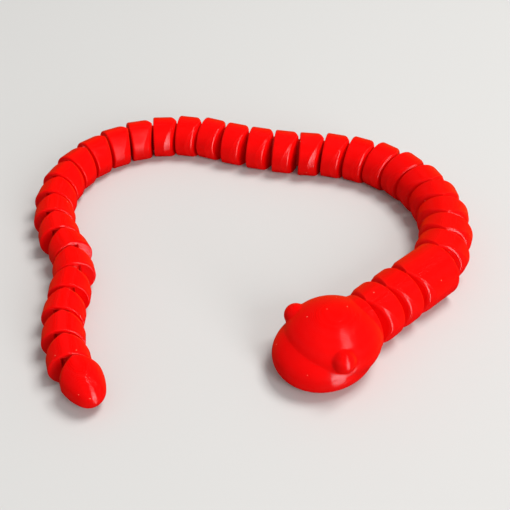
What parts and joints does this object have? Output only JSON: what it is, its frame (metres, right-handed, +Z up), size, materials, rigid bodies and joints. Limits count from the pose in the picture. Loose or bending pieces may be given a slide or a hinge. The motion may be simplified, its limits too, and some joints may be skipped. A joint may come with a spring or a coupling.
{
  "type": "articulated snake toy",
  "caption": "Bendable snake toy printed in one go: a rounded head with round eyes, a row of links on hidden upright pivots, and a blunt tail. It lies on a table and bends sideways.",
  "frame": {"origin": "on the flat belly of link_17, straight under its rear hinge, at table level", "axes": "+Z up from the table; +X to the right and +Y away from the viewer of the picture, so the tail goes up the left side, the body runs over the top and the head lies at the lower right"},
  "size_m": [0.1587, 0.1461, 0.0202],
  "materials": {
    "red_plastic": "silky glossy red filament with fine horizontal layer lines"
  },
  "bodies": {
    "tail_tip": {"tail_tip": "red_plastic"},
    "link_01": {"link_01": "red_plastic"},
    "link_02": {"link_02": "red_plastic"},
    "link_03": {"link_03": "red_plastic"},
    "link_04": {"link_04": "red_plastic"},
    "link_05": {"link_05": "red_plastic"},
    "link_06": {"link_06": "red_plastic"},
    "link_07": {"link_07": "red_plastic"},
    "link_08": {"link_08": "red_plastic"},
    "link_09": {"link_09": "red_plastic"},
    "link_10": {"link_10": "red_plastic"},
    "link_11": {"link_11": "red_plastic"},
    "link_12": {"link_12": "red_plastic"},
    "link_13": {"link_13": "red_plastic"},
    "link_14": {"link_14": "red_plastic"},
    "link_15": {"link_15": "red_plastic"},
    "link_16": {"link_16": "red_plastic"},
    "link_17": {"link_17": "red_plastic"},
    "link_18": {"link_18": "red_plastic"},
    "link_19": {"link_19": "red_plastic"},
    "link_20": {"link_20": "red_plastic"},
    "link_21": {"link_21": "red_plastic"},
    "link_22": {"link_22": "red_plastic"},
    "link_23": {"link_23": "red_plastic"},
    "link_24": {"link_24": "red_plastic"},
    "link_25": {"link_25": "red_plastic"},
    "link_26": {"link_26": "red_plastic"},
    "link_27": {"link_27": "red_plastic"},
    "link_28": {"link_28": "red_plastic"},
    "link_29": {"link_29": "red_plastic"},
    "link_30": {"link_30": "red_plastic"},
    "link_31": {"link_31": "red_plastic"},
    "link_32": {"link_32": "red_plastic"},
    "link_33": {"link_33": "red_plastic"},
    "head": {"head": "red_plastic"}
  },
  "joints": [
    {"name": "bend_17", "type": "hinge", "parent": "link_17", "child": "link_16", "pos_m": [0, 0, 0.008], "axis": [0, 0, 1], "range_deg": [-32, 8]},
    {"name": "bend_16", "type": "hinge", "parent": "link_16", "child": "link_15", "pos_m": [-0.00992, 0.00122, 0.008], "axis": [0, 0, -1], "range_deg": [-7, 33]},
    {"name": "bend_15", "type": "hinge", "parent": "link_15", "child": "link_14", "pos_m": [-0.01987, 0.00017, 0.008], "axis": [0, 0, 1], "range_deg": [-33, 7]},
    {"name": "bend_14", "type": "hinge", "parent": "link_14", "child": "link_13", "pos_m": [-0.02933, -0.00308, 0.008], "axis": [0, 0, -1], "range_deg": [-7, 33]},
    {"name": "bend_13", "type": "hinge", "parent": "link_13", "child": "link_12", "pos_m": [-0.03781, -0.00838, 0.008], "axis": [0, 0, 1], "range_deg": [-33, 7]},
    {"name": "bend_12", "type": "hinge", "parent": "link_12", "child": "link_11", "pos_m": [-0.04488, -0.01545, 0.008], "axis": [0, 0, -1], "range_deg": [-7, 33]},
    {"name": "bend_11", "type": "hinge", "parent": "link_11", "child": "link_10", "pos_m": [-0.05018, -0.02393, 0.008], "axis": [0, 0, 1], "range_deg": [-33, 7]},
    {"name": "bend_10", "type": "hinge", "parent": "link_10", "child": "link_09", "pos_m": [-0.05343, -0.03339, 0.008], "axis": [0, 0, -1], "range_deg": [-7, 33]},
    {"name": "bend_09", "type": "hinge", "parent": "link_09", "child": "link_08", "pos_m": [-0.05448, -0.04333, 0.008], "axis": [0, 0, 1], "range_deg": [-33, 7]},
    {"name": "bend_08", "type": "hinge", "parent": "link_08", "child": "link_07", "pos_m": [-0.05326, -0.05326, 0.008], "axis": [0, 0, -1], "range_deg": [-8, 32]},
    {"name": "bend_07", "type": "hinge", "parent": "link_07", "child": "link_06", "pos_m": [-0.05, -0.06271, 0.008], "axis": [0, 0, 1], "range_deg": [-32, 8]},
    {"name": "bend_06", "type": "hinge", "parent": "link_06", "child": "link_05", "pos_m": [-0.04485, -0.07129, 0.008], "axis": [0, 0, -1], "range_deg": [-33, 7]},
    {"name": "bend_05", "type": "hinge", "parent": "link_05", "child": "link_04", "pos_m": [-0.04176, -0.0808, 0.008], "axis": [0, 0, 1], "range_deg": [-5, 35]},
    {"name": "bend_04", "type": "hinge", "parent": "link_04", "child": "link_03", "pos_m": [-0.04124, -0.09078, 0.008], "axis": [0, 0, -1], "range_deg": [-23, 17]},
    {"name": "bend_03", "type": "hinge", "parent": "link_03", "child": "link_02", "pos_m": [-0.04124, -0.10078, 0.008], "axis": [0, 0, 1], "range_deg": [-29, 11]},
    {"name": "bend_02", "type": "hinge", "parent": "link_02", "child": "link_01", "pos_m": [-0.03968, -0.11066, 0.008], "axis": [0, 0, -1], "range_deg": [-10, 30]},
    {"name": "bend_01", "type": "hinge", "parent": "link_01", "child": "tail_tip", "pos_m": [-0.03642, -0.12011, 0.008], "axis": [0, 0, 1], "range_deg": [-36, 4]},
    {"name": "bend_18", "type": "hinge", "parent": "link_17", "child": "link_18", "pos_m": [0.00945, -0.00326, 0.008], "axis": [0, 0, 1], "range_deg": [-24, 16]},
    {"name": "bend_19", "type": "hinge", "parent": "link_18", "child": "link_19", "pos_m": [0.01911, -0.00584, 0.008], "axis": [0, 0, -1], "range_deg": [-16, 24]},
    {"name": "bend_20", "type": "hinge", "parent": "link_19", "child": "link_20", "pos_m": [0.02893, -0.00775, 0.008], "axis": [0, 0, 1], "range_deg": [-24, 16]},
    {"name": "bend_21", "type": "hinge", "parent": "link_20", "child": "link_21", "pos_m": [0.03886, -0.00897, 0.008], "axis": [0, 0, -1], "range_deg": [-16, 24]},
    {"name": "bend_22", "type": "hinge", "parent": "link_21", "child": "link_22", "pos_m": [0.04884, -0.00949, 0.008], "axis": [0, 0, 1], "range_deg": [-10, 30]},
    {"name": "bend_23", "type": "hinge", "parent": "link_22", "child": "link_23", "pos_m": [0.05859, -0.01174, 0.008], "axis": [0, 0, -1], "range_deg": [-30, 10]},
    {"name": "bend_24", "type": "hinge", "parent": "link_23", "child": "link_24", "pos_m": [0.06779, -0.01565, 0.008], "axis": [0, 0, 1], "range_deg": [-5, 35]},
    {"name": "bend_25", "type": "hinge", "parent": "link_24", "child": "link_25", "pos_m": [0.07567, -0.02181, 0.008], "axis": [0, 0, -1], "range_deg": [-35, 5]},
    {"name": "bend_26", "type": "hinge", "parent": "link_25", "child": "link_26", "pos_m": [0.08169, -0.02979, 0.008], "axis": [0, 0, 1], "range_deg": [-6, 34]},
    {"name": "bend_27", "type": "hinge", "parent": "link_26", "child": "link_27", "pos_m": [0.0856, -0.039, 0.008], "axis": [0, 0, -1], "range_deg": [-34, 6]},
    {"name": "bend_28", "type": "hinge", "parent": "link_27", "child": "link_28", "pos_m": [0.08716, -0.04888, 0.008], "axis": [0, 0, 1], "range_deg": [-7, 33]},
    {"name": "bend_29", "type": "hinge", "parent": "link_28", "child": "link_29", "pos_m": [0.08646, -0.05885, 0.008], "axis": [0, 0, -1], "range_deg": [-33, 7]},
    {"name": "bend_30", "type": "hinge", "parent": "link_29", "child": "link_30", "pos_m": [0.08354, -0.06841, 0.008], "axis": [0, 0, 1], "range_deg": [-10, 30]},
    {"name": "bend_31", "type": "hinge", "parent": "link_30", "child": "link_31", "pos_m": [0.079, -0.07732, 0.008], "axis": [0, 0, -1], "range_deg": [-39, 1]},
    {"name": "bend_32", "type": "hinge", "parent": "link_31", "child": "link_32", "pos_m": [0.06533, -0.09052, 0.008], "axis": [0, 0, 1], "range_deg": [-21, 19]},
    {"name": "bend_33", "type": "hinge", "parent": "link_32", "child": "link_33", "pos_m": [0.05826, -0.09759, 0.008], "axis": [0, 0, -1], "range_deg": [-19, 21]},
    {"name": "bend_34", "type": "hinge", "parent": "link_33", "child": "head", "pos_m": [0.05131, -0.10479, 0.008], "axis": [0, 0, 1], "range_deg": [-11, 29]}
  ]
}
